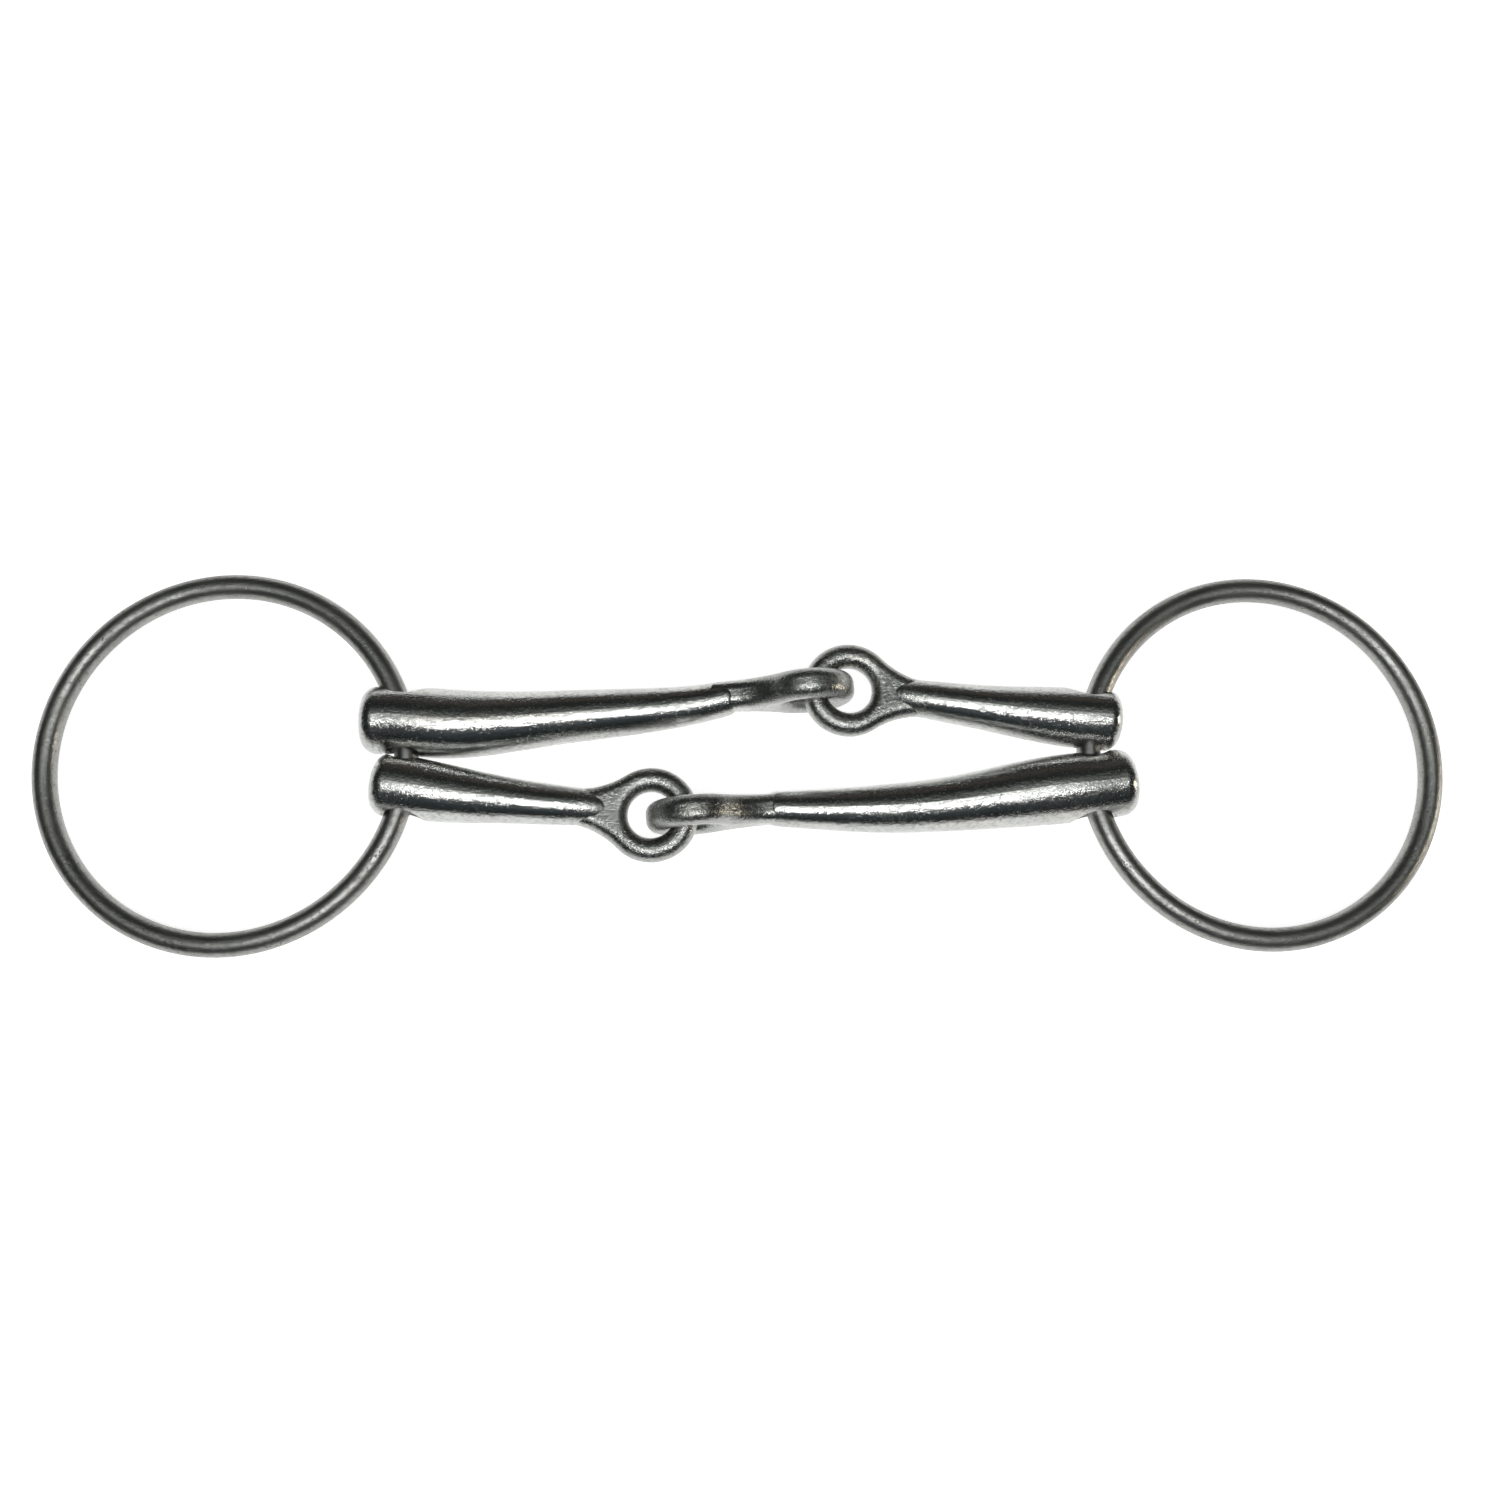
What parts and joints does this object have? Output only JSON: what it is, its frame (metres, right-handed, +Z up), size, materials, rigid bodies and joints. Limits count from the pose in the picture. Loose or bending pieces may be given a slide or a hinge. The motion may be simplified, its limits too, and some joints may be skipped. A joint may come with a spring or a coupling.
{
  "type": "snaffle bit",
  "caption": "Double-mouthpiece loose-ring snaffle bit: jointed long and short cannons side by side, eye-linked off centre, on a shared round ring at each side.",
  "frame": {"origin": "bottom centre of the bit lying flat, midway between the two rings", "axes": "+X along the bit from the left ring to the right ring, +Y towards the rear mouthpiece, +Z up"},
  "size_m": [0.2592, 0.07, 0.0172],
  "materials": {
    "ring_steel": "polished stainless steel wire with fine wear scratches",
    "mouthpiece_steel": "mirror-polished forged stainless steel, faintly pitted round the eyes"
  },
  "bodies": {
    "rear_long_cannon": {"rear_long_cannon": "mouthpiece_steel"},
    "rear_short_cannon": {"rear_short_cannon": "mouthpiece_steel"},
    "front_long_cannon": {"front_long_cannon": "mouthpiece_steel"},
    "front_short_cannon": {"front_short_cannon": "mouthpiece_steel"},
    "left_ring": {"left_ring": "ring_steel"},
    "right_ring": {"right_ring": "ring_steel"}
  },
  "joints": [
    {"name": "link_fold", "type": "hinge", "parent": "rear_long_cannon", "child": "rear_short_cannon", "pos_m": [0.01165, 0.0132, 0.0087], "axis": [0, 1, 0], "range_deg": [-50, 50]},
    {"name": "front_short_fold", "type": "hinge", "parent": "rear_long_cannon", "child": "front_short_cannon", "pos_m": [-0.0625, -0.00485, 0.0065], "axis": [0, 1, 0], "range_deg": [-10.5, 10.5]},
    {"name": "front_long_fold", "type": "hinge", "parent": "rear_short_cannon", "child": "front_long_cannon", "pos_m": [0.0625, -0.0048, 0.0065], "axis": [0, 1, 0], "range_deg": [-10.5, 10.5]},
    {"name": "left_ring_swing", "type": "hinge", "parent": "rear_long_cannon", "child": "left_ring", "pos_m": [-0.0625, 0, 0.0065], "axis": [0, 1, 0], "range_deg": [-140, 140]},
    {"name": "right_ring_swing", "type": "hinge", "parent": "rear_short_cannon", "child": "right_ring", "pos_m": [0.0625, 0, 0.0065], "axis": [0, 1, 0], "range_deg": [-140, 140]}
  ],
  "couplings": [
    {"joint": "front_short_fold", "follows": "link_fold", "ratio": -0.197},
    {"joint": "front_long_fold", "follows": "link_fold", "ratio": -0.197}
  ]
}
